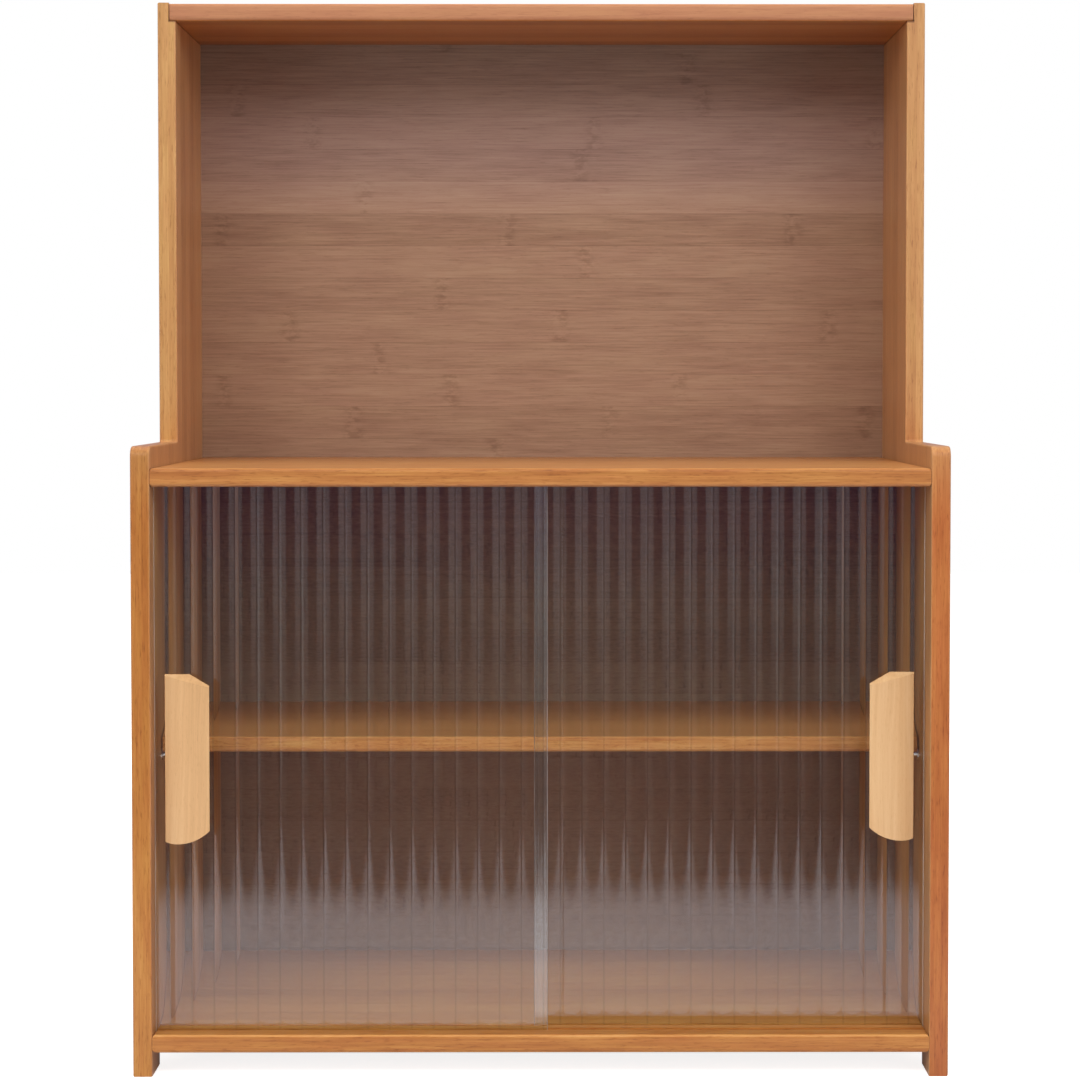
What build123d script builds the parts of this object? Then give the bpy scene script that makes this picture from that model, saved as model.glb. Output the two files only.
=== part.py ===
from build123d import *
import os

os.makedirs("parts", exist_ok=True)

# Counter-top kitchen cabinet with an open niche above and a two-door compartment below.
# Millimetres. The front faces -Y, +X is to the right of someone facing it, +Z is up.
# The origin lies on the resting plane, under the middle of the outer box.

# ---- driving sizes: the carcass ----
width = 446.0  # outside to outside of the side panels
depth = 240.0  # front of the lower section to the back
height = 600.0  # resting plane to the tops of the side panels
side_board = 10.5  # thickness of the side panels
board = 10.0  # thickness of the top, counter and bottom board
door_opening = 300.0  # clear height between the bottom board and the counter
step_back = 118.0  # how far the upper section stands back from the front
shoulder_rise = 12.0  # side panels above the counter's top, in front of the step
shoulder_radius = 6.0  # rounded front corner of the shoulder
step_radius = 1.5  # cutter radius left in the inner corner of the step
edge_round = 1.0  # rounding along the side panels' exposed edges
front_round = 2.0  # rounding along the front edges of the other boards
end_round = 0.6  # upright corners of the counter's and bottom board's front edge
foot_height = 13.0  # resting plane to the underside of the bottom board
foot_length = 30.0  # each foot, measured from the front or the back
foot_radius = 5.0  # corners of the cut-out between two feet
top_lip = 6.5  # side panel left standing outside the top board's end
top_end_gap = 0.5  # narrow shadow gap between that lip and the top board's end
top_drop = 0.5  # top board's surface below the side panels' tops

# ---- driving sizes: back panel, shelf and doors ----
back_thickness = 5.0
back_rabbet = 5.0  # width of the rabbet that takes each edge of the back panel
back_gap = 0.2  # back panel's edge to the rabbet's wall
shelf_thickness = 8.5
shelf_height = 180.0  # resting plane to the shelf's top
shelf_setback = 55.0  # front of the cabinet to the shelf's front edge
shelf_end_gap = 1.5  # shelf's end to the side panel, room for a pin's collar
shelf_back_gap = 0.5
glass_sheet = 3.1  # flat sheet, without the ribs
rib_height = 0.9
rib_pitch = 12.1
rib_margin = 2.7  # meeting edge of a door to its first valley between ribs
door_overlap = 7.0  # how far the closed doors lie over each other
door_end_gap = 0.25  # closed door's edge to the side panel
door_seat_gap = 0.2  # under the glass in its lower groove
groove_setback = 12.2  # front of the boards to the front groove
groove_spacing = 11.5  # front groove to rear groove
groove_side_gap = 0.5  # glass to each wall of its groove
lower_groove_depth = 3.0
upper_groove_depth = 6.0
lift_gap = 0.2  # over and under a glass that is lifted clear of its lower groove

# ---- driving sizes: door pulls ----
pull_length = 93.5
pull_width = 25.0
pull_inset = 6.0  # door's outer edge to the pull
pull_flat = 13.5  # width of the flat that is bonded to the glass
pull_outer_edge = 0.7  # thickness at the pull's outer edge
pull_brow = 4.5  # outer edge to where the front face flattens
pull_brow_height = 1.8  # front face's height there
pull_tip_height = 6.1  # front face's height at the finger edge
pull_tip = 0.8  # thickness of the finger edge
pull_bevel = 1.1  # length lost at the upper end for every millimetre away from the glass
pull_low_point = 5.9  # outer edge to the lowest point of the rounded lower end
pull_low_outer_rise = 1.2  # lower end's rise from there to the outer edge
pull_low_tip_rise = 8.0  # and to the finger edge
pull_round = 0.3
bond_thickness = 0.4  # adhesive pad between a pull and the glass
bond_inset = 1.0  # pad's edge inside the pull's flat

# ---- driving sizes: joints and fasteners ----
dowel_diameter = 5.0
dowel_length = 20.0
dowel_in_side = 6.5  # length of a dowel inside the side panel
top_dowel_diameter = 4.0
top_dowel_length = 15.0
top_dowel_in_lip = 3.5
end_chamfer = 0.5  # on the ends of dowels and pins
glue_gap = 0.05  # around a dowel
hole_relief = 0.5  # past a dowel's or a pin's end
dowel_inset = 25.0  # back edge of a board to its last dowel
front_dowel_gap = 10.0  # rear door groove to the first dowel
pin_diameter = 5.0
pin_in_side = 6.5
pin_reach = 9.0  # pin's tongue under the shelf
pin_collar_diameter = 8.0
pin_collar = 1.0
pin_flat_drop = 1.0  # flat on top of the tongue, below the pin's round
pin_inset = 8.0  # front or back edge of the shelf to the pin
pin_clearance = 0.05  # around a pin in its hole
screw_diameter = 3.0
screw_length = 16.0
screw_head = 6.0
screw_point = 2.0  # tapered end
screw_sink = 0.3  # head below the back panel's surface
screw_clearance = 0.2  # between a screw and its clearance hole in the back panel
screw_inset = 40.0  # side of the opening to the outer screws
screw_count = 3  # across each board
recess_width = 0.9  # cross recess in a screw's head
recess_span = 3.0
recess_depth = 1.0

# ---- worked-out places ----
front = -depth / 2
back = depth / 2
back_face = back - back_thickness
upper_front = front + step_back
inner_width = width - 2 * side_board
inner_x = inner_width / 2
bottom_top = foot_height + board
counter_under = bottom_top + door_opening
counter_top = counter_under + board
shoulder_top = counter_top + shoulder_rise
top_top = height - top_drop
top_under = top_top - board
lip_x = width / 2 - top_lip
top_half = lip_x - top_end_gap

pane_thickness = glass_sheet + rib_height
groove_width = pane_thickness + 2 * groove_side_gap
groove_front = {"left": front + groove_setback}
groove_front["right"] = groove_front["left"] + groove_spacing
rear_groove_back = groove_front["right"] + groove_width
pane_width = (inner_width + door_overlap) / 2 - door_end_gap
pane_low = bottom_top - lower_groove_depth + door_seat_gap
door_lift = lower_groove_depth - door_seat_gap + lift_gap
pane_high = counter_under + upper_groove_depth - door_lift - lift_gap
pull_low = bottom_top + door_opening / 2 - pull_length / 2
rib_radius = ((rib_pitch / 2) ** 2 + rib_height**2) / (2 * rib_height)

shelf_under = shelf_height - shelf_thickness
shelf_front = front + shelf_setback
shelf_back = back_face - shelf_back_gap
pin_axis_z = shelf_under - (pin_diameter / 2 - pin_flat_drop)
pin_places = {"front": shelf_front + pin_inset, "back": shelf_back - pin_inset}

first_dowel_y = rear_groove_back + front_dowel_gap
last_dowel_y = back_face - dowel_inset
dowel_ys = [first_dowel_y, (first_dowel_y + last_dowel_y) / 2, last_dowel_y]
top_dowel_ys = [upper_front + dowel_inset, last_dowel_y]
screw_xs = [-inner_x + screw_inset + i * (inner_width - 2 * screw_inset) / (screw_count - 1)
            for i in range(screw_count)]
board_mid_z = {"bottom": foot_height + board / 2, "counter": counter_under + board / 2,
               "top": top_under + board / 2}
sides = (("left", -1), ("right", 1))


def save(piece, label):
    """Name a finished piece and write it to its own file."""
    piece.part.label = label
    export_step(piece.part, f"parts/{label}.step")


def block(x_low, x_high, y_low, y_high, z_low, z_high, mode=Mode.ADD):
    """A box between six planes, added to or cut from the piece being made."""
    middle = ((x_low + x_high) / 2, (y_low + y_high) / 2, (z_low + z_high) / 2)
    with Locations(middle):
        Box(x_high - x_low, y_high - y_low, z_high - z_low, mode=mode)


def end_holes(face_x, direction, places, diameter, hole_depth):
    """Round holes along X, drilled from the plane x = face_x towards direction."""
    with BuildSketch(Plane.YZ.offset(face_x)) as holes:
        with Locations(*places):
            Circle(diameter / 2)
    extrude(holes.sketch, amount=direction * hole_depth, mode=Mode.SUBTRACT)


def front_edges(at_y):
    """The piece's long edges along X in the plane y = at_y."""
    return edges().filter_by(Axis.X).filter_by_position(Axis.Y, at_y, at_y)


def board_dowel_holes(z, half_width, ys, diameter, hole_depth):
    """Dowel holes in both ends of a board."""
    for _, hand in sides:
        end_holes(hand * half_width, -hand, [(y, z) for y in ys], diameter, hole_depth)


def pilot_holes(z):
    """Holes in a board's back edge for the back panel's screws."""
    with Locations(*[Plane((x, back_face, z), z_dir=(0, 1, 0)) for x in screw_xs]):
        Hole(screw_diameter / 2 + glue_gap, depth=screw_length - back_thickness + hole_relief)


# ---- side panels: one stepped board each, with the feet cut in its lower edge ----
for name, hand in sides:
    outer = hand * width / 2
    inner = hand * inner_x
    with BuildPart() as side_panel:
        with BuildSketch(Plane.YZ.offset(outer)) as outline:
            with BuildLine():
                Polyline((front, 0), (front, shoulder_top), (upper_front, shoulder_top),
                         (upper_front, height), (back, height), (back, 0),
                         (back - foot_length, 0), (back - foot_length, foot_height),
                         (front + foot_length, foot_height), (front + foot_length, 0), close=True)
            make_face()
            corners = outline.vertices()
            fillet(corners.filter_by_position(Axis.X, front, front).sort_by(Axis.Y)[-1:],
                   shoulder_radius)
            step_corner = outline.vertices().filter_by_position(Axis.X, upper_front, upper_front)
            fillet(step_corner.sort_by(Axis.Y)[:1], step_radius)
            fillet(outline.vertices().filter_by_position(Axis.Y, foot_height, foot_height),
                   foot_radius)
        extrude(amount=-hand * side_board)
        rabbet_x = sorted((inner, hand * lip_x))
        block(*rabbet_x, upper_front, back, top_under, height, mode=Mode.SUBTRACT)
        rabbet_x = sorted((inner, inner + hand * back_rabbet))
        block(*rabbet_x, back_face, back, foot_height, height, mode=Mode.SUBTRACT)
        fillet(faces().sort_by(Axis.X)[-1 if hand > 0 else 0].edges(), edge_round)
        inside_edges = edges().filter_by_position(Axis.X, inner, inner)
        inside_edges = inside_edges.filter_by_position(Axis.Y, front, upper_front)
        fillet(inside_edges.filter_by_position(Axis.Z, foot_height, height, (False, True)),
               edge_round)
        for at in ("bottom", "counter"):
            end_holes(inner, hand, [(y, board_mid_z[at]) for y in dowel_ys],
                      dowel_diameter + 2 * glue_gap, dowel_in_side + hole_relief)
        end_holes(hand * lip_x, hand, [(y, board_mid_z["top"]) for y in top_dowel_ys],
                  top_dowel_diameter + 2 * glue_gap, top_dowel_in_lip + hole_relief)
        end_holes(inner, hand, [(y, pin_axis_z) for y in pin_places.values()],
                  pin_diameter + 2 * pin_clearance, pin_in_side + hole_relief)
    save(side_panel, f"side_panel_{name}")

# ---- top board: let into the rabbets at the side panels' upper ends ----
with BuildPart() as top_board:
    block(-top_half, top_half, upper_front, back_face, top_under, top_top)
    fillet(front_edges(upper_front), front_round)
    board_dowel_holes(board_mid_z["top"], top_half, top_dowel_ys, top_dowel_diameter + 2 * glue_gap,
                      top_dowel_length - top_dowel_in_lip - top_end_gap + hole_relief)
    pilot_holes(board_mid_z["top"])
save(top_board, "top_board")

# ---- counter and bottom board: both carry the two door grooves ----
for name, low, groove_z in (
    ("counter", counter_under, (counter_under, counter_under + upper_groove_depth)),
    ("bottom", foot_height, (bottom_top - lower_groove_depth, bottom_top)),
):
    with BuildPart() as flat_board:
        block(-inner_x, inner_x, front, back_face, low, low + board)
        fillet(edges().filter_by(Axis.Z).filter_by_position(Axis.Y, front, front), end_round)
        fillet(front_edges(front), front_round)
        for groove_y in groove_front.values():
            block(-inner_x, inner_x, groove_y, groove_y + groove_width, *groove_z,
                  mode=Mode.SUBTRACT)
        board_dowel_holes(board_mid_z[name], inner_x, dowel_ys, dowel_diameter + 2 * glue_gap,
                          dowel_length - dowel_in_side + hole_relief)
        pilot_holes(board_mid_z[name])
    save(flat_board, f"{name}_board")

# ---- back panel: one thin sheet in the side panels' rear rabbets ----
with BuildPart() as back_panel:
    back_half = inner_x + back_rabbet - back_gap
    block(-back_half, back_half, back_face, back, foot_height, top_top)
    with Locations(*[Plane((x, back - screw_sink, z), z_dir=(0, 1, 0))
                     for x in screw_xs for z in board_mid_z.values()]):
        CounterSinkHole(screw_diameter / 2 + screw_clearance, screw_head / 2 + screw_clearance)
save(back_panel, "back_panel")

# ---- shelf: a loose board that lies on four pins ----
with BuildPart() as shelf_board:
    shelf_half = inner_x - shelf_end_gap
    block(-shelf_half, shelf_half, shelf_front, shelf_back, shelf_under, shelf_height)
    fillet(front_edges(shelf_front), front_round)
save(shelf_board, "shelf_board")

# ---- shelf pins: round shank in the side panel, collar, tongue with a flat on top ----
for name, hand in sides:
    for place, pin_y in pin_places.items():
        with BuildPart() as shelf_pin:
            with BuildSketch(Plane.YZ.offset(hand * (inner_x + pin_in_side))):
                with Locations((pin_y, pin_axis_z)):
                    Circle(pin_diameter / 2)
            extrude(amount=-hand * (pin_in_side + pin_reach))
            chamfer(edges().filter_by(GeomType.CIRCLE), end_chamfer)
            with BuildSketch(Plane.YZ.offset(hand * inner_x)):
                with Locations((pin_y, pin_axis_z)):
                    Circle(pin_collar_diameter / 2)
            extrude(amount=-hand * pin_collar)
            tongue_x = sorted((hand * (inner_x - pin_collar), hand * (inner_x - pin_reach)))
            block(*tongue_x, pin_y - pin_diameter, pin_y + pin_diameter,
                  shelf_under, shelf_under + pin_diameter, mode=Mode.SUBTRACT)
        save(shelf_pin, f"shelf_pin_{place}_{name}")

# ---- doors: reeded glass panes, smooth in front and ribbed behind ----
rib_total = int((pane_width - rib_margin) / rib_pitch) + 2
for name, hand in sides:
    pane_outer = hand * (inner_x - door_end_gap)
    pane_meeting = pane_outer - hand * pane_width
    pane_front = groove_front[name] + groove_side_gap
    first_rib = pane_meeting + hand * (rib_margin - rib_pitch / 2)
    rib_centre_y = pane_front + pane_thickness - rib_radius
    with BuildPart() as door_glass:
        with BuildSketch(Plane.XY.offset(pane_low)):
            with Locations(*[(first_rib + hand * i * rib_pitch, rib_centre_y)
                             for i in range(rib_total)]):
                Circle(rib_radius)
            with Locations(((pane_outer + pane_meeting) / 2, pane_front + pane_thickness / 2)):
                Rectangle(pane_width, pane_thickness, mode=Mode.INTERSECT)
        extrude(amount=pane_high - pane_low)
    save(door_glass, f"door_glass_{name}")

    # Pull: a wing-shaped strip, flat on the glass at the outer side, hollowed under the
    # finger edge that points to the middle of the cabinet. Its upper end is bevelled, and
    # its lower end is rounded as seen from the front.
    pull_outer = pane_outer - hand * pull_inset
    pull_back = pane_front - bond_thickness

    def spot(across, out):
        """A point of the pull's section: across from its outer edge, out from its back."""
        return (pull_outer - hand * across, pull_back - out)

    with BuildPart() as pull:
        with BuildSketch(Plane.XY.offset(pull_low)):
            with BuildLine():
                Polyline(spot(0, pull_outer_edge), spot(0, 0), spot(pull_flat, 0),
                         spot(pull_width, pull_tip_height - pull_tip),
                         spot(pull_width, pull_tip_height))
                Spline(spot(pull_width, pull_tip_height), spot(pull_brow, pull_brow_height),
                       spot(0, pull_outer_edge))
            make_face()
        extrude(amount=pull_length)
        pull_top = pull_low + pull_length
        bevel_reach = 2 * pull_tip_height
        with BuildSketch(Plane.YZ.offset(pull_outer)):
            with BuildLine():
                Polyline((pull_back, pull_top), (pull_back - bevel_reach, pull_top),
                         (pull_back - bevel_reach, pull_top - pull_bevel * bevel_reach), close=True)
            make_face()
        extrude(amount=pull_width, both=True, mode=Mode.SUBTRACT)
        pull_finger = pull_outer - hand * pull_width
        low_point = (pull_outer - hand * pull_low_point, pull_low)
        with BuildSketch(Plane.XZ.offset(-pull_back)):
            with BuildLine():
                TangentArc(low_point, (pull_outer, pull_low + pull_low_outer_rise), tangent=(hand, 0))
                TangentArc(low_point, (pull_finger, pull_low + pull_low_tip_rise), tangent=(-hand, 0))
                Polyline((pull_outer, pull_low + pull_low_outer_rise), (pull_outer, pull_low - 1),
                         (pull_finger, pull_low - 1), (pull_finger, pull_low + pull_low_tip_rise))
            make_face()
        extrude(amount=2 * pull_tip_height, mode=Mode.SUBTRACT)
        fillet(edges().filter_by(Axis.Z).sort_by(Axis.Y)[:3], pull_round)
    save(pull, f"pull_{name}")

    with BuildPart() as pull_bond:
        pad_x = sorted((spot(bond_inset, 0)[0], spot(pull_flat - bond_inset, 0)[0]))
        block(*pad_x, pull_back, pane_front,
              pull_low + bond_inset, pull_low + pull_length - bond_inset)
    save(pull_bond, f"pull_bond_{name}")

# ---- dowels: hidden in the joints between the boards and each side panel ----
for at, ys, diameter, length, in_side, side_face in (
    ("top", top_dowel_ys, top_dowel_diameter, top_dowel_length, top_dowel_in_lip, lip_x),
    ("counter", dowel_ys, dowel_diameter, dowel_length, dowel_in_side, inner_x),
    ("bottom", dowel_ys, dowel_diameter, dowel_length, dowel_in_side, inner_x),
):
    for name, hand in sides:
        with BuildPart() as dowels:
            with BuildSketch(Plane.YZ.offset(hand * (side_face + in_side))):
                with Locations(*[(y, board_mid_z[at]) for y in ys]):
                    Circle(diameter / 2)
            extrude(amount=-hand * length)
            chamfer(edges().filter_by(GeomType.CIRCLE), end_chamfer)
        save(dowels, f"{at}_dowels_{name}")

# ---- back panel screws: countersunk, one row into the back edge of each board ----
for at, z in board_mid_z.items():
    with BuildPart() as back_screws:
        head_y = back - screw_sink
        cone_height = (screw_head - screw_diameter) / 2
        for x in screw_xs:
            with BuildSketch(Plane.XY.offset(z)):
                with BuildLine():
                    Polyline((x, head_y), (x + screw_head / 2, head_y),
                             (x + screw_diameter / 2, head_y - cone_height),
                             (x + screw_diameter / 2, head_y - screw_length + screw_point),
                             (x, head_y - screw_length), close=True)
                make_face()
            revolve(axis=Axis((x, 0, z), (0, 1, 0)))
            for across, up in ((recess_span, recess_width), (recess_width, recess_span)):
                block(x - across / 2, x + across / 2, head_y - recess_depth, head_y,
                      z - up / 2, z + up / 2, mode=Mode.SUBTRACT)
    save(back_screws, f"back_screws_{at}")
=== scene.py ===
import math

import bpy
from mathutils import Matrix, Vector


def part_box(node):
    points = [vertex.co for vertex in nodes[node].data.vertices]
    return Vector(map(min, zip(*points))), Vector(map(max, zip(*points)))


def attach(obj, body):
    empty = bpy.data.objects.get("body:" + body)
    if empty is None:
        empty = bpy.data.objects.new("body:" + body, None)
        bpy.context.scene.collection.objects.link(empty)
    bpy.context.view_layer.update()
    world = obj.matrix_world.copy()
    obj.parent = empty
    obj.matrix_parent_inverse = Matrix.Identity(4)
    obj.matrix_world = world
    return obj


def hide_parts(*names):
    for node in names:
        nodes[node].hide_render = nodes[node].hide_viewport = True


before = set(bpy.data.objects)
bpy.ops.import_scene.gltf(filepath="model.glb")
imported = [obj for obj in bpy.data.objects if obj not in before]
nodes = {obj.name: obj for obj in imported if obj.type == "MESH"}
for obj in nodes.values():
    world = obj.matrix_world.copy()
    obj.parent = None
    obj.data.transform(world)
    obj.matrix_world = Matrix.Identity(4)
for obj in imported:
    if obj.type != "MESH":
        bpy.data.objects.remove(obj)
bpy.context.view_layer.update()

# ---- Camera ----
# Stands in front of the cabinet, a little to the right of its middle, and looks slightly down.
# The lens is shifted, because the frame isn't centred on the line of sight.
frame_side, focal_length, sight = 1080, 2854.3, (564.03, 489.34)  # in pixels
looks_down, turned_left = 0.0372, -0.0034
camera_data = bpy.data.cameras.new("camera")
camera_data.sensor_width = 36.0
camera_data.lens = 36.0 * focal_length / frame_side
camera_data.shift_x = (frame_side / 2 - sight[0]) / frame_side
camera_data.shift_y = (sight[1] - frame_side / 2) / frame_side
camera = bpy.data.objects.new("camera", camera_data)
camera.location = (0.00745, -1.669, 0.37927)
camera.rotation_euler = (math.pi / 2 - looks_down, 0, turned_left)
bpy.context.scene.collection.objects.link(camera)
bpy.context.scene.camera = camera
bpy.context.scene.view_settings.view_transform = "Standard"


# ---- Side panels ----
# Two laminated bamboo boards, the grain upright, each cut in one outline with its shoulder, step
# and feet. The edges are eased, and orange-brown satin lacquer lies over all of it.
class Steps:
    """Nodes put together in one tree. A value is a number, a colour or another node's output."""

    def __init__(self, tree):
        self.tree = tree
        tree.nodes.clear()

    def put(self, socket, value):
        if isinstance(value, bpy.types.NodeSocket):
            self.tree.links.new(value, socket)
        else:
            socket.default_value = value

    def add(self, kind, sockets=None, **settings):
        family = "" if kind.startswith(("Geometry", "Function", "NodeGroup")) else "ShaderNode"
        made = self.tree.nodes.new(family + kind)
        for key, value in settings.items():
            setattr(made, key, value)
        for key, value in (sockets or {}).items():
            self.put(made.inputs[key], value)
        return made

    def sum(self, operation, *values):
        return self.add("Math", dict(enumerate(values)), operation=operation).outputs[0]

    def ease(self, value, low, high, first=0.0, last=1.0):
        """Goes softly from first to last as the value goes from low to high."""
        return self.add("MapRange", {"Value": value, "From Min": low, "From Max": high,
                                     "To Min": first, "To Max": last},
                        interpolation_type="SMOOTHSTEP").outputs[0]

    def off_centre(self, turns, pitch):
        """How far a point is from the nearest whole turn."""
        part = self.sum("SUBTRACT", self.sum("FRACT", self.sum("ADD", turns, 0.5)), 0.5)
        return self.sum("MULTIPLY", self.sum("ABSOLUTE", part), pitch)


class Finish(Steps):
    """The steps of one material."""

    def __init__(self, name):
        self.material = bpy.data.materials.new(name)
        self.material.use_nodes = True
        super().__init__(self.material.node_tree)
        self.out = self.add("OutputMaterial")

    def place(self):
        coordinates = self.add("TexCoord").outputs["Object"]
        return dict(zip("XYZ", self.add("SeparateXYZ", {0: coordinates}).outputs))

    def grain(self, steps, detail, roughness):
        """Noise over three steps. A pair is a value and how many features it has in a metre."""
        point = [self.sum("MULTIPLY", *step) if isinstance(step, tuple) else step for step in steps]
        vector = self.add("CombineXYZ", dict(enumerate(point))).outputs[0]
        return self.add("TexNoise", {"Vector": vector, "Scale": 1.0, "Detail": detail,
                                     "Roughness": roughness}).outputs[0]

    def vary(self, value, amounts):
        """Adds each amount in turn, more or less of it as its own value is over or under a half."""
        for change, amount in amounts:
            value = self.sum("MULTIPLY_ADD", self.sum("SUBTRACT", change, 0.5), amount, value)
        return value

    def ramp(self, value, *stops):
        made = self.add("ValToRGB", {0: value})
        band = made.color_ramp.elements
        for _ in stops[2:]:
            band.new(1.0)
        for stop, (where, colour) in zip(band, stops):
            stop.position = where
            stop.color = (*colour, 1)
        return made.outputs[0]

    def bump(self, strength, distance, height):
        return self.add("Bump", {"Strength": strength, "Distance": distance,
                                 "Height": height}).outputs[0]

    def close(self, shader):
        self.put(self.out.inputs[0], shader.outputs[0])
        return self.material


mark_stops = 32    # the most that one ramp holds
mark_shift = 0.5   # in metres, because a ramp holds no negative number


def laminated_bamboo(name, along, across, seed, colours, low, strip=0.020, layer=0.0034,
                     marks=None, strips=0.20, layers=0.14, fibres=0.62, knuckles=0.05,
                     roughness=0.36, coat=0.16, specks=0.22, tone=0.5, hue=0.5, depth=1.0,
                     smudge=(0.0060, 260.0, 520.0), flat=("Z", 0.0), eased=0.0, fades=(),
                     dark_joint=None):
    """Strips glued side by side in layers, each with its own tone, fine fibres and knuckles.

    Strips and layers are counted from the board's low corner. marks lists tone, shifted first
    knuckle and spacing for the first 32 strips, where they aren't left to chance. smudge is the
    knuckles' reach and their mottling along and across. flat is painted light: it makes the faces
    square to one axis paler. eased is painted light on the rounded edges, and painted shade where
    it is negative. Each fade runs from one height to another and makes the front and back faces
    past it paler, duller and turned in hue. The last argument is a painted shadow line along a
    joint: its height, and how far from the middle it reaches."""
    finish = Finish(name)
    place = finish.place()
    through = ({"X", "Y", "Z"} - {along, across}).pop()
    a, c, t = place[along], place[across], place[through]

    def counted(value, axis, step):
        return finish.sum("DIVIDE", finish.sum("SUBTRACT", value, low["XYZ".index(axis)]), step)

    def chance(row):
        which = finish.add("CombineXYZ", {0: number, 1: row, 2: seed}).outputs[0]
        return finish.add("TexWhiteNoise", {"Vector": which}, noise_dimensions="3D").outputs

    def fibre(stretch, fineness, detail, rough):
        return finish.grain(((shifted, stretch), (c, fineness), (t, fineness)), detail, rough)

    # Each strip of each layer has its own chances, which also shift its fibres.
    across_strips = counted(c, across, strip)
    number = finish.sum("FLOOR", across_strips)
    layer_number = finish.sum("FLOOR", counted(t, through, layer))
    chances = finish.add("SeparateColor", {0: chance(layer_number)["Color"]}).outputs
    strip_chance = chance(7.0)[0]
    shifted = finish.sum("MULTIPLY_ADD", chances[1], 9.0, a)
    fine = fibre(34.0, 1000.0, 3.0, 0.6)
    broad = fibre(14.0, 330.0, 3.0, 0.55)
    cloud = fibre(24.0, 90.0, 2.0, 0.5)
    pores = finish.ease(fibre(130.0, 1100.0, 2.0, 0.6), 0.54, 0.70)

    # Knuckles come at even steps along a strip. Their edge wanders, and they are mottled.
    first = finish.sum("MULTIPLY", chances[1], 0.29)
    spacing = finish.sum("MULTIPLY_ADD", chances[2], 0.035, 0.150)
    if marks:
        counter = finish.sum("DIVIDE", finish.sum("ADD", number, 0.5), float(mark_stops))
        table = finish.add("ValToRGB", {0: counter})
        table.color_ramp.interpolation = "CONSTANT"
        stops = table.color_ramp.elements
        for k, mark in enumerate(marks):
            stop = stops[k] if k < 2 else stops.new(k / mark_stops)
            stop.position, stop.color = k / mark_stops, (*mark, 1)
        row = finish.add("SeparateColor", {0: table.outputs[0]}).outputs
        strip_chance, first, spacing = row[0], finish.sum("SUBTRACT", row[1], mark_shift), row[2]
    passed = finish.sum("DIVIDE", finish.sum("SUBTRACT", a, first), spacing)
    away = finish.off_centre(passed, spacing)
    wander = finish.grain(((a, 6.0), (c, 60.0), seed), 2.0, 0.5)
    near = finish.ease(finish.vary(away, ((wander, 0.008),)), 0.0006, smudge[0], 1.0, 0.0)
    dashes = finish.ease(fibre(smudge[1], smudge[2], 2.0, 0.6), 0.36, 0.66, -0.5, 1.0)
    knuckle = finish.sum("MULTIPLY", near, finish.sum("MULTIPLY_ADD", dashes, 1.0, 0.25))

    # A hair-thin dark joint runs between two strips.
    side = finish.sum("FRACT", across_strips)
    edge = finish.sum("MINIMUM", side, finish.sum("SUBTRACT", 1.0, side))
    joint = finish.ease(edge, 0.0, 0.02, 1.0, 0.0)

    tone = finish.vary(tone, ((strip_chance, strips), (chances[0], layers), (fine, fibres),
                              (broad, fibres * 0.7), (cloud, fibres * 0.5)))
    normal = finish.add("SeparateXYZ", {0: finish.add("TexCoord").outputs["Normal"]}).outputs
    square = dict(zip("XYZ", (finish.sum("ABSOLUTE", part) for part in normal)))
    most = finish.sum("MAXIMUM", finish.sum("MAXIMUM", square["X"], square["Y"]), square["Z"])
    # Pores, knuckles and the strip joints darken the tone. The last two amounts are painted light:
    # paler faces square to one axis, and paler rounded edges, or darker where the amount is
    # negative.
    for value, amount in ((pores, -specks), (knuckle, -knuckles), (joint, -0.10),
                          (finish.ease(square[flat[0]], 0.6, 0.9), flat[1]),
                          (finish.ease(most, 0.80, 0.98, 1.0, 0.0), eased)):
        tone = finish.sum("MULTIPLY_ADD", value, amount, tone)
    # Painted shadow: a dark line on the panel along the top board's underside, where the gap at the
    # joint would be in shade.
    if dark_joint:
        off_line = finish.sum("ABSOLUTE", finish.sum("SUBTRACT", place["Z"], dark_joint[0]))
        line = finish.ease(off_line, 0.0003, 0.0011, 1.0, 0.0)
        inside = finish.sum("LESS_THAN", finish.sum("ABSOLUTE", place["X"]), dark_joint[1])
        tone = finish.sum("MULTIPLY_ADD", finish.sum("MULTIPLY", line, inside), -0.6, tone)
    turned = finish.vary(hue, ((cloud, 0.014),))
    fullness = depth
    for start, end, paler, duller, turn in fades:
        front_or_back = finish.ease(square["Y"], 0.5, 0.95)
        past = finish.sum("MULTIPLY", finish.ease(place["Z"], start, end), front_or_back)
        tone = finish.sum("MULTIPLY_ADD", past, paler, tone)
        fullness = finish.sum("MULTIPLY_ADD", past, -duller, fullness)
        turned = finish.sum("MULTIPLY_ADD", past, turn, turned)
    colour = finish.add("HueSaturation", {
        "Hue": turned, "Saturation": fullness, "Value": 1.0, "Fac": 1.0,
        "Color": finish.ramp(tone, *colours)}).outputs[0]

    height = finish.sum("MULTIPLY_ADD", pores, -0.6, finish.sum("MULTIPLY_ADD", joint, -0.8, fine))
    shine = finish.sum("MULTIPLY_ADD", fine, 0.16, roughness - 0.08)
    return finish.close(finish.add("BsdfPrincipled", {
        "Base Color": colour, "Roughness": shine, "Normal": finish.bump(0.12, 0.0002, height),
        "Specular IOR Level": 0.3, "Coat Weight": coat, "Coat Roughness": 0.2}))


def refinish(node, material):
    """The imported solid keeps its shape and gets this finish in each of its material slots."""
    for slot in nodes[node].material_slots:
        slot.material = material


lacquer_colours = ((0.0, (0.200, 0.070, 0.022)), (0.35, (0.400, 0.150, 0.042)),
                   (0.55, (0.500, 0.205, 0.060)), (0.75, (0.590, 0.270, 0.088)),
                   (1.0, (0.680, 0.350, 0.130)))
outside = 0.0008   # strips start this far outside a board, so that no joint lies on its edge


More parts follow.
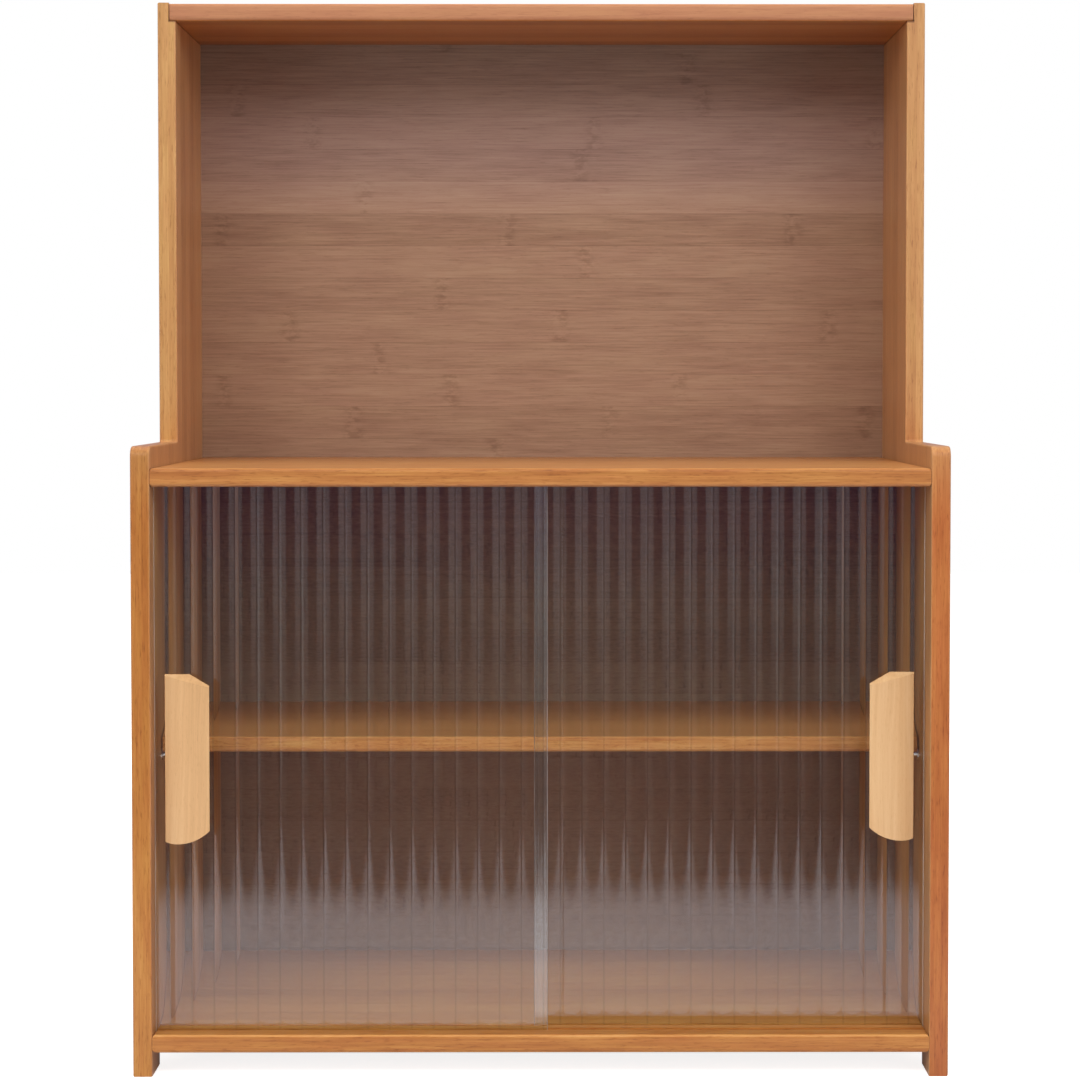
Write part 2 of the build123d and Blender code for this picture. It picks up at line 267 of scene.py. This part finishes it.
def lacquer_board(node, along, across, seed, **changes):
    """Gives one carcass board its own strips and lacquer."""
    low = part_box(node)[0] - Vector((outside, outside, outside))
    refinish(node, laminated_bamboo(f"lacquered_{node}", along, across, seed, lacquer_colours, low,
                                    **changes))


# The top board's ends lie on the panels' rabbets. A painted shadow line runs along that joint,
# where the gap under the board's ends would be in shade.
joint_past_board = 0.0007
top_joint = (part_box("top_board")[0].z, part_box("top_board")[1].x + joint_past_board)
# The side panels' faces square to X get painted light.
lacquer_board("side_panel_left", "Z", "Y", 3.0, tone=0.57, depth=0.93, fibres=0.52,
              flat=("X", 0.155), dark_joint=top_joint,
              fades=((0.38, 0.30, -0.10, -0.10, 0.0), (0.30, 0.04, 0.14, 0.0, 0.003),
                     (0.30, 0.38, -0.07, 0.0, 0.012)))
lacquer_board("side_panel_right", "Z", "Y", 13.0, tone=0.56, hue=0.503, depth=0.93, fibres=0.52,
              flat=("X", 0.11), dark_joint=top_joint,
              fades=((0.38, 0.30, -0.15, -0.10, -0.014), (0.28, 0.05, -0.07, 0.0, 0.0),
                     (0.30, 0.38, -0.025, 0.01, 0.005)))

# ---- Bottom, counter and top boards ----
# Three laminated boards between the side panels, the grain running across the cabinet.
# Hidden dowels and glue hold them. The doors' grooves are cut in the lower two.
# The boards' faces square to Z get painted light. Their rounded edges get painted light on the
# bottom board and painted shade on the counter.
lacquer_board("bottom_board", "X", "Y", 23.0, tone=0.60, depth=1.03, flat=("Z", 0.20), eased=0.36)
lacquer_board("counter_board", "X", "Y", 31.0, tone=0.51, flat=("Z", 0.11), eased=-0.08)
lacquer_board("top_board", "X", "Y", 47.0, tone=0.51, fibres=0.28, specks=0.10, flat=("Z", 0.04),
              fades=((0.0, 0.1, 0.0, 0.11, -0.005),))

# ---- Dowels ----
# Turned hardwood pegs, left raw and glued half in a board and half in a side panel.
# They are out of sight in the finished cabinet.
dowel_colours = ((0.0, (0.42, 0.25, 0.12)), (0.5, (0.62, 0.42, 0.24)), (1.0, (0.75, 0.56, 0.36)))
dowel_wood = laminated_bamboo("dowel_wood", "X", "Y", 5.0, dowel_colours, (-0.3, -0.3, -0.3),
                              strip=0.5, layer=0.9, knuckles=0.0, roughness=0.6, coat=0.0)
for board in ("bottom", "counter", "top"):
    for side in ("left", "right"):
        refinish(f"{board}_dowels_{side}", dowel_wood)


# ---- Back panel ----
# One sheet of level bamboo strips, each 20 mm wide, let into rabbets round the carcass's back.
# It is browner than the boards. Its thin dull varnish leaves fibres and knuckles plain to see.
def shaded_strip_mark(k):
    """A strip's tone, shifted first knuckle and knuckle spacing, in irregular steps.
    Tones are lower at the foot, and darkest from just under the counter board up: that fall is
    painted shade, the counter's shadow on the back behind the doors."""
    tone = min(0.38 + 0.09 * k, 0.7, max(0.0, 1.5 - 0.1 * k)) + 0.25 * (0.618 * k % 1)
    return tone, mark_shift - 0.20 + 0.4 * (0.37 * k % 1), 0.15 + 0.05 * (0.71 * k % 1)


# Strips are counted from the floor, and the niche shows the ones listed here. A row holds number,
# tone, first knuckle and knuckle spacing, the last two in metres.
# Behind the doors the rule's tones stay, with their painted shade under the counter.
strip_marks = [shaded_strip_mark(k) for k in range(30)]
for number, tone, first, spacing in (
        (16, 0.44, -0.029, 0.260), (17, 0.40, -0.118, 0.160), (18, 0.56, -0.057, 0.142),
        (19, 0.50, -0.102, 0.330), (20, 0.54, -0.157, 0.168), (21, 0.46, -0.063, 0.290),
        (22, 0.60, 0.027, 0.250), (23, 0.36, -0.200, 0.178), (24, 0.72, -0.111, 0.330),
        (25, 0.50, 0.024, 0.250), (26, 0.62, -0.143, 0.175), (27, 0.50, -0.190, 0.290),
        (28, 0.36, 0.090, 0.310), (29, 0.40, -0.060, 0.300)):
    strip_marks[number] = (tone, first + mark_shift, spacing)
panel_colours = ((0.0, (0.120, 0.064, 0.039)), (0.35, (0.258, 0.144, 0.088)),
                 (0.55, (0.347, 0.203, 0.130)), (0.75, (0.407, 0.252, 0.165)),
                 (1.0, (0.481, 0.317, 0.212)))
refinish("back_panel", laminated_bamboo(
    "varnished_strips", "X", "Z", 61.0, panel_colours, (-0.3, 0.1, 0.0048), layer=0.9,
    marks=strip_marks, strips=0.34, layers=0.0, fibres=0.44, knuckles=0.12, specks=0.07,
    roughness=0.48, coat=0.1, smudge=(0.0085, 150.0, 300.0),
    fades=((0.47, 0.53, 0.0, 0.18, -0.011), (0.53, 0.60, 0.0, 0.10, 0.018))))


# ---- Back screws ----
# Three small countersunk wood screws along each board pull the back panel into its rabbets.
# Zinc-plated steel, with a cross recess in each head.
def plated_steel(name, colour, roughness):
    """Plated steel with a faint cloudiness and the fine lines of its turning."""
    finish = Finish(name)
    place = finish.place()
    cloud = finish.grain([(place[axis], 900.0) for axis in "XYZ"], 3.0, 0.6)
    lines = finish.grain(((place["X"], 9000.0), 0.0, 0.0), 1.0, 0.5)
    shade = finish.ramp(cloud, (0.3, tuple(0.8 * part for part in colour)), (0.7, colour))
    return finish.close(finish.add("BsdfPrincipled", {
        "Base Color": shade, "Metallic": 1.0, "Normal": finish.bump(0.2, 0.00002, lines),
        "Roughness": finish.sum("MULTIPLY_ADD", cloud, 0.2, roughness - 0.1)}))


zinc = plated_steel("zinc_plated_screws", (0.62, 0.60, 0.56), 0.34)
for board in ("top", "counter", "bottom"):
    refinish(f"back_screws_{board}", zinc)

# ---- Shelf pins ----
# Four nickel-plated pegs pushed into the side panels. A collar stops each one, and its tongue has a
# flat on top for the shelf to lie on.
nickel = plated_steel("nickel_plated_pins", (0.78, 0.76, 0.72), 0.22)
for corner in ("front_left", "front_right", "back_left", "back_right"):
    refinish(f"shelf_pin_{corner}", nickel)

# ---- Shelf ----
# A loose laminated board in the same lacquer, set back behind the doors.
# It lies on the four pins by its own weight.
# Its top and underside get strong painted light.
lacquer_board("shelf_board", "X", "Y", 71.0, tone=0.665, hue=0.493, depth=1.03, fibres=0.85,
              flat=("Z", 0.40))


# ---- Sliding doors ----
# Two frameless panes of rolled glass in two grooves. The face towards the room is flat and the face
# towards the shelf has upright hollow flutes. The sawn edges are seamed and stay a little frosted.
def clear_glass(name, tint, roughness, waviness, clearness, ridges=None):
    """Glass that bends and mirrors what is seen, and lets the lamps reach what stands behind it.
    ridges gives one ridge's place and their pitch: each ridge is a faint dull line."""
    finish = Finish(name)
    place = finish.place()
    waves = finish.grain(((place["X"], 40.0), 0.0, (place["Z"], 14.0)), 1.0, 0.5)
    glass = finish.add("BsdfPrincipled", {
        "Base Color": (*tint, 1), "Roughness": roughness, "IOR": 1.52,
        "Transmission Weight": clearness, "Normal": finish.bump(waviness, 0.0005, waves)})
    if ridges:
        one_ridge, pitch = ridges
        far_ridge = one_ridge - 100 * pitch   # so far left that every turn counts up from nothing
        turns = finish.sum("DIVIDE", finish.sum("SUBTRACT", place["X"], far_ridge), pitch)
        clear = finish.ease(finish.off_centre(turns, pitch), 0.0001, 0.0009)
        finish.put(glass.inputs["Base Color"],
                   finish.ramp(clear, (0.0, tuple(0.90 * part for part in tint)), (1.0, tint)))
    past = finish.add("BsdfTransparent", {"Color": (0.92, 0.95, 0.93, 1)}).outputs[0]
    path = finish.add("LightPath").outputs
    lamps = finish.add("MixShader", {0: path["Is Shadow Ray"], 1: glass.outputs[0], 2: past})
    return finish.close(finish.add("MixShader", {0: path["Is Diffuse Ray"], 1: lamps.outputs[0],
                                                 2: past}))


def socket_of(tree, name):
    """The identifier of a node group's named input."""
    return next(item.identifier for item in tree.interface.items_tree if item.name == name)


def fluted_pane_tree():
    """A closed pane on X and Z, flat in front and fluted behind, counted from its meeting edge."""
    tree = bpy.data.node_groups.new("fluted_pane", "GeometryNodeTree")
    sizes = ("Width", "Low", "High", "Front", "Sheet", "Flute depth", "Pitch", "First ridge",
             "Ridge half width", "Steps per flute", "Meeting edge", "Direction")
    for name, kind in (("Geometry", "Geometry"), *((size, "Float") for size in sizes),
                       ("Glass", "Material")):
        tree.interface.new_socket(name, in_out="INPUT", socket_type="NodeSocket" + kind)
    tree.interface.new_socket("Geometry", in_out="OUTPUT", socket_type="NodeSocketGeometry")
    pane = Steps(tree)
    add, sum = pane.add, pane.sum
    merging = 0.00001
    crowding = 0.11        # how far a column moves towards its ridge, as a share of a flute
    whole_turn = 1.000001  # and a hair, so that a ridge counts with the flute past it

    # A flat sheet, its columns crowded towards the ridges and cut off at the pane's two edges.
    given = add("NodeGroupInput").outputs
    flutes = sum("ADD", sum("CEIL", sum("DIVIDE", given["Width"], given["Pitch"])), 2.0)
    columns = sum("ADD", sum("MULTIPLY", flutes, given["Steps per flute"]), 1.0)
    sheet = add("GeometryNodeMeshGrid", {"Size X": 1.0, "Size Y": 1.0, "Vertices X": columns,
                                         "Vertices Y": 2})
    place = add("SeparateXYZ", {0: add("GeometryNodeInputPosition").outputs[0]}).outputs
    along = sum("SUBTRACT", sum("MULTIPLY", sum("ADD", place[0], 0.5), flutes), 1.0)
    wave = sum("SINE", sum("MULTIPLY", along, math.tau))
    along = sum("SUBTRACT", along, sum("MULTIPLY", wave, crowding))
    along = sum("ADD", sum("MULTIPLY", along, given["Pitch"]), given["First ridge"])
    along = sum("MINIMUM", sum("MAXIMUM", along, 0.0), given["Width"])

    # A flute is an arc from ridge to ridge. A small curve rounds each ridge.
    past_first = sum("SUBTRACT", along, given["First ridge"])
    turn = sum("FRACT", sum("ADD", sum("DIVIDE", past_first, given["Pitch"]), whole_turn))
    half = sum("MULTIPLY", given["Pitch"], 0.5)
    radius = sum("DIVIDE", sum("ADD", sum("MULTIPLY", half, half),
                               sum("MULTIPLY", given["Flute depth"], given["Flute depth"])),
                 sum("MULTIPLY", given["Flute depth"], 2.0))
    off = sum("ABSOLUTE", sum("MULTIPLY", sum("SUBTRACT", turn, 0.5), given["Pitch"]))
    held = sum("MINIMUM", off, sum("SUBTRACT", half, given["Ridge half width"]))
    arc = sum("SQRT", sum("SUBTRACT", sum("MULTIPLY", radius, radius), sum("MULTIPLY", held, held)))
    crown = sum("ADD", sum("SUBTRACT", arc, radius), given["Flute depth"])
    over = sum("SUBTRACT", off, held)
    slope = sum("DIVIDE", held, arc)
    ridge_width = sum("MULTIPLY", given["Ridge half width"], 2.0)
    bend = sum("DIVIDE", sum("MULTIPLY", over, over), ridge_width)
    rise = sum("SUBTRACT", crown, sum("MULTIPLY", slope, sum("SUBTRACT", over, bend)))
    across = sum("ADD", given["Meeting edge"], sum("MULTIPLY", along, given["Direction"]))
    rear = sum("SUBTRACT", sum("ADD", given["Front"], given["Sheet"]), rise)
    up = sum("ADD", given["Low"], sum("MULTIPLY", sum("ADD", place[1], 0.5),
                                      sum("SUBTRACT", given["High"], given["Low"])))
    fluted = add("GeometryNodeSetPosition", {
        "Geometry": sheet.outputs[0],
        "Position": add("CombineXYZ", {0: across, 1: rear, 2: up}).outputs[0]})
    merged = add("GeometryNodeMergeByDistance", {"Geometry": fluted.outputs[0],
                                                 "Distance": merging})

    # The sheet is drawn out to the flat front, and the fluted sheet turned round to close the back.
    drawn = add("GeometryNodeExtrudeMesh", {"Mesh": merged.outputs[0], "Offset Scale": 0.001,
                                            "Individual": False}).outputs
    now = add("SeparateXYZ", {0: add("GeometryNodeInputPosition").outputs[0]}).outputs
    level = add("CombineXYZ", {0: now[0], 1: given["Front"], 2: now[2]}).outputs[0]
    flat = add("GeometryNodeSetPosition", {"Geometry": drawn["Mesh"], "Selection": drawn["Top"],
                                           "Position": level})
    turned = add("GeometryNodeFlipFaces", {"Mesh": merged.outputs[0]})
    joined = add("GeometryNodeJoinGeometry")
    for part in (turned, flat):
        pane.put(joined.inputs[0], part.outputs[0])
    closed = add("GeometryNodeMergeByDistance", {"Geometry": joined.outputs[0],
                                                 "Distance": merging})
    mirrored = add("FunctionNodeCompare", {"A": given["Direction"], "B": 0.0},
                   operation="LESS_THAN")
    outward = add("GeometryNodeFlipFaces", {"Mesh": closed.outputs[0],
                                            "Selection": mirrored.outputs[0]})
    real = add("GeometryNodeRealizeInstances", {"Geometry": outward.outputs[0]})
    finished = add("GeometryNodeSetMaterial", {"Geometry": real.outputs[0],
                                               "Material": given["Glass"]})
    add("NodeGroupOutput", {"Geometry": finished.outputs[0]})
    return tree


pane_tree = fluted_pane_tree()
glass_sheet, flute_depth, flute_pitch, first_ridge = 0.0040, 0.0009, 0.0121, 0.0021
ridge_half_width, steps_per_flute, seam = 0.0005, 26.0, 0.0004
pane_tint, outer_edge_tint = (0.95, 0.985, 0.975), (0.72, 0.63, 0.56)
corner_angle, sharp_angle = math.radians(60), math.radians(30)
edge_lean, edge_reach = 0.9, 0.001   # a flute's face looks straighter back than a seamed edge's
for side, direction, edge_tint in (("left", -1.0, (0.50, 0.45, 0.43)),
                                   ("right", 1.0, (0.34, 0.27, 0.25))):
    low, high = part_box(f"door_glass_{side}")
    meeting = high.x if side == "left" else low.x
    pane_glass = clear_glass(f"reeded_glass_{side}", pane_tint, 0.0, 0.008, 1.0,
                             (meeting + direction * first_ridge, flute_pitch))
    edge_glass = clear_glass(f"seamed_glass_edge_{side}", edge_tint, 0.45, 0.0, 0.5)
    outer_glass = clear_glass(f"seamed_glass_outer_edge_{side}", outer_edge_tint, 0.45, 0.0, 0.3)
    start = bpy.data.objects.new(f"reeded_pane_{side}_start", bpy.data.meshes.new("start"))
    bpy.context.scene.collection.objects.link(start)
    make = start.modifiers.new("flutes", "NODES")
    make.node_group = pane_tree
    for name, value in {
            "Width": high.x - low.x, "Low": low.z, "High": high.z, "Front": low.y,
            "Sheet": glass_sheet, "Flute depth": flute_depth, "Pitch": flute_pitch,
            "First ridge": first_ridge, "Ridge half width": ridge_half_width,
            "Steps per flute": steps_per_flute, "Meeting edge": meeting,
            "Direction": direction, "Glass": pane_glass}.items():
        make[socket_of(pane_tree, name)] = value
    ease = start.modifiers.new("seamed_edges", "BEVEL")
    ease.width, ease.segments = seam, 1
    ease.limit_method, ease.angle_limit = "ANGLE", corner_angle
    ready = start.evaluated_get(bpy.context.evaluated_depsgraph_get())
    mesh = bpy.data.meshes.new_from_object(ready)
    mesh.name = f"reeded_pane_{side}"
    bpy.data.objects.remove(start)
    mesh.materials.clear()
    for glass in (pane_glass, edge_glass, outer_glass):
        mesh.materials.append(glass)
    mesh.shade_smooth()
    mesh.set_sharp_from_angle(angle=sharp_angle)
    for face in mesh.polygons:
        seamed = abs(face.normal.y) < edge_lean
        outer = abs(face.center.x - meeting) > high.x - low.x - edge_reach
        face.material_index = (2 if outer else 1) if seamed else 0
    pane = bpy.data.objects.new(f"reeded_pane_{side}", mesh)
    bpy.context.scene.collection.objects.link(pane)
    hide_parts(f"door_glass_{side}")
    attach(pane, f"{side}_door")


# ---- Door pulls ----
# Pale hardwood, shaped like half a leaf in section: thin at the door's outer edge and proud at the
# finger edge, with both ends sloped back to the glass. Sanded smooth under clear lacquer.
def pale_hardwood(name, seed, tone, finger_edge, outer_edge):
    """Close-grained pale wood with upright pores and faint growth lines.
    Darker towards the finger edge and paler towards the outer edge: painted shade and painted
    light."""
    finish = Finish(name)
    x, y, z = finish.place().values()
    bend = finish.grain(((x, 40.0), (y, 40.0), finish.sum("MULTIPLY_ADD", z, 7.0, seed)), 2.0, 0.5)
    bent = finish.sum("MULTIPLY_ADD", x, 420.0, finish.sum("MULTIPLY", bend, 5.0))
    lines = finish.grain((bent, (y, 420.0), (z, 8.0)), 3.0, 0.6)
    flecks = finish.ease(finish.grain(((x, 2600.0), (y, 2600.0), (z, 260.0)), 1.0, 0.5), 0.58, 0.72)
    tone = finish.vary(tone, ((lines, 0.8), (bend, 0.5)))
    tone = finish.sum("MULTIPLY_ADD", flecks, -0.16, tone)
    # Painted shade towards the finger edge and painted light towards the outer edge, for how the
    # lamps fall on the pull's curved face.
    painted_light_across = finish.ease(finish.sum("ABSOLUTE", x), finger_edge, outer_edge, -0.17, 0.06)
    tone = finish.sum("ADD", tone, painted_light_across)
    colour = finish.ramp(tone, (0.0, (0.52, 0.28, 0.115)), (0.45, (0.70, 0.42, 0.195)),
                         (0.7, (0.76, 0.49, 0.245)), (1.0, (0.83, 0.58, 0.33)))
    return finish.close(finish.add("BsdfPrincipled", {
        "Base Color": colour, "Roughness": finish.sum("MULTIPLY_ADD", lines, 0.15, 0.40),
        "Normal": finish.bump(0.15, 0.0001, finish.sum("SUBTRACT", lines, flecks)),
        "Coat Weight": 0.15, "Coat Roughness": 0.3}))


for side, seed, tone in (("left", 2.0, 0.51), ("right", 9.0, 0.65)):
    edges = sorted(abs(corner.x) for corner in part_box(f"pull_{side}"))
    refinish(f"pull_{side}", pale_hardwood(f"pale_pull_{side}", seed, tone, *edges))


# ---- Adhesive pads ----
# Thin clear acrylic pads, one between each pull's flat back and its pane.
# They hold the pulls without a hole in the glass.
def clear_pad(name):
    """Soft clear adhesive with small trapped bubbles."""
    finish = Finish(name)
    bubbles = finish.add("TexVoronoi", {"Vector": finish.add("TexCoord").outputs["Object"],
                                        "Scale": 700.0}).outputs["Distance"]
    colour = finish.ramp(bubbles, (0.0, (0.86, 0.85, 0.80)), (0.3, (0.74, 0.72, 0.66)))
    return finish.close(finish.add("BsdfPrincipled", {
        "Base Color": colour, "Roughness": finish.ease(bubbles, 0.05, 0.25, 0.55, 0.35),
        "IOR": 1.47, "Transmission Weight": 0.3}))


pad = clear_pad("clear_adhesive")
for side in ("left", "right"):
    refinish(f"pull_bond_{side}", pad)

# ---- Table ----
# A pale matt table top whose front edge lies before the cabinet. The glass mirrors it slightly
# cool, and dimmer straight before the doors and close to them.
table_front, table_reach = -0.72, 4.0
table_grey, table_cool = 0.64, (0.975, 0.950, 1.040)
table_mesh = bpy.data.meshes.new("table")
table_corners = [(-table_reach, table_front, 0), (table_reach, table_front, 0),
                 (table_reach, table_reach, 0), (-table_reach, table_reach, 0)]
table_mesh.from_pydata(table_corners, [], [(0, 1, 2, 3)])
table = bpy.data.objects.new("table", table_mesh)
bpy.context.scene.collection.objects.link(table)
top = Finish("pale_table")
path = top.add("LightPath").outputs
x, y, z = top.place().values()
distance = top.sum("SQRT", top.sum("MULTIPLY_ADD", x, x, top.sum("MULTIPLY", y, y)))
pale = top.ease(distance, 0.35, 1.3, 0.84, 1.0)
# Painted shade: the table is flat, but its colour and its glow in the glass fall off over the last
# 0.19 m before its front edge, as a rounded edge turning away from the light would. They rise
# a little more nearer the cabinet.
turning = top.sum("ADD", top.ease(y, table_front, table_front + 0.19, 0.08, 0.88),
                  top.ease(y, -0.52, -0.40, 0.0, 0.14))
aside = top.ease(top.sum("ABSOLUTE", x), 0.36, 0.56, 0.50, 1.25)
mirrored = top.sum("MULTIPLY_ADD", path["Is Glossy Ray"], 0.50,
                   top.sum("MULTIPLY", path["Is Transmission Ray"], aside))
mirrored = top.sum("MULTIPLY", mirrored, top.sum("LESS_THAN", path["Diffuse Depth"], 0.5))
mirrored = top.sum("MULTIPLY", mirrored, top.ease(y, -0.15, -0.10, 1.0, 0.15))
glow = top.sum("MULTIPLY_ADD", path["Is Camera Ray"], pale, top.sum("MULTIPLY", mirrored, turning))
cool = [top.sum("MULTIPLY_ADD", path["Is Camera Ray"], 1.0 - part, part) for part in table_cool]
shades = [top.sum("MULTIPLY", top.sum("MULTIPLY", turning, table_grey), part) for part in cool]
shade = top.add("CombineColor", dict(enumerate(shades))).outputs[0]
plain = top.add("BsdfDiffuse", {"Color": shade})
glow_colour = top.add("CombineColor", dict(enumerate(cool))).outputs[0]
light = top.add("Emission", {"Color": glow_colour, "Strength": glow})
pale_table = top.close(top.add("AddShader", {0: plain.outputs[0], 1: light.outputs[0]}))
pale_table.cycles.emission_sampling = "NONE"
table_mesh.materials.append(pale_table)

# ---- Studio ----
# White all round to the eye and dim to the wood. What the glass mirrors is a dark room, with two
# tall pale screens beside the table, dim towards their feet, and pale walls past them.
world = bpy.data.worlds.new("studio")
bpy.context.scene.world = world
world.use_nodes = True
room = Steps(world.node_tree)
path = room.add("LightPath").outputs
right, back, up = room.add("SeparateXYZ", {0: room.add("TexCoord").outputs["Generated"]}).outputs
screen_foot = (-0.128, -0.055)
left_screen = room.sum("MULTIPLY", room.ease(right, -0.48, -0.32, 0.68, 0.0),
                       room.ease(up, *screen_foot, 0.3, 1.0))
right_screen = room.sum("MULTIPLY", room.ease(right, 0.24, 0.40, 0.0, 0.78),
                        room.ease(up, *screen_foot, 0.0, 1.0))
walls = room.sum("MULTIPLY", room.ease(room.sum("ABSOLUTE", right), 0.66, 0.84, 0.0, 1.0),
                 room.sum("SUBTRACT", room.ease(up, -0.165, -0.100, 0.30, 1.20),
                          room.ease(up, -0.070, -0.035, 0.0, 0.45)))
behind = room.ease(back, -0.1, 0.3, 0.0, 1.0)
pale_things = room.sum("ADD", room.sum("ADD", left_screen, right_screen), walls)
mirror = room.sum("ADD", room.sum("MULTIPLY", pale_things, room.sum("SUBTRACT", 1.0, behind)),
                  room.sum("MULTIPLY", behind, 0.22))
upward = room.add("MapRange", {"Value": up, "From Min": -0.3, "From Max": 0.8, "To Min": 0.15,
                               "To Max": 0.28}).outputs[0]
before = room.add("MapRange", {"Value": back, "From Min": -0.9, "From Max": 0.0, "To Min": 0.45,
                               "To Max": 0.95}).outputs[0]
ambient = room.sum("MULTIPLY", upward, before)
bent = room.sum("MAXIMUM", path["Is Glossy Ray"], path["Is Transmission Ray"])
mirrored = room.sum("MULTIPLY", bent, room.sum("LESS_THAN", path["Diffuse Depth"], 0.5))
plain_or_mirror = room.add("Mix", {0: mirrored, 2: ambient, 3: mirror}).outputs[0]
strength = room.add("Mix", {0: path["Is Camera Ray"], 2: plain_or_mirror, 3: 1.0}).outputs[0]
backdrop = room.add("Background", {"Color": (1, 1, 1, 1), "Strength": strength})
# The dark room itself is bluish near the floor, and a little lighter there.
low_room = room.sum("SUBTRACT", room.ease(up, -0.178, -0.145, 1.60, 1.0),
                    room.ease(up, -0.135, -0.100, 0.35, 0.0))
room_colour = room.add("CombineColor", dict(enumerate(
    room.ease(up, -0.085, -0.040, near_floor, above)
    for near_floor, above in ((0.060, 0.035), (0.115, 0.015), (0.160, 0.120))))).outputs[0]
dark_room = room.add("Background", {"Color": room_colour,
                                    "Strength": room.sum("MULTIPLY", mirrored, low_room)})
studio = room.add("AddShader", {0: backdrop.outputs[0], 1: dark_room.outputs[0]})
room.add("OutputWorld", {0: studio.outputs[0]})


# ---- Lamps ----
# One broad soft lamp above the front, a round one at each side, and two more above and behind.
# They light the cabinet, and stay out of sight and out of the glass.
def soft_lamp(name, place, aim, width, height, power, shape="RECTANGLE"):
    """A flat lamp turned to its aim."""
    data = bpy.data.lights.new(name, "AREA")
    data.shape, data.size, data.size_y, data.energy = shape, width, height, power
    lamp = bpy.data.objects.new(name, data)
    lamp.location = place
    lamp.visible_camera = lamp.visible_transmission = lamp.visible_glossy = False
    lamp.rotation_euler = (Vector(aim) - Vector(place)).to_track_quat("-Z", "Y").to_euler()
    bpy.context.scene.collection.objects.link(lamp)


soft_lamp("lamp_front", (0.0, -1.20, 1.20), (0.0, 0.0, 0.35), 1.8, 0.65, 17.5)
soft_lamp("lamp_left", (-1.51, -1.46, 0.60), (0.0, 0.0, 0.60), 1.6, 1.2, 10.0, "ELLIPSE")
soft_lamp("lamp_right", (1.40, -1.55, 0.60), (0.0, 0.0, 0.60), 1.6, 1.2, 10.0, "ELLIPSE")
soft_lamp("lamp_above", (0.0, -0.10, 2.20), (0.0, 0.0, 0.35), 1.6, 1.2, 22.0)
soft_lamp("lamp_behind", (0.0, 1.70, 1.40), (0.0, 0.0, 0.30), 1.8, 1.0, 16.0)
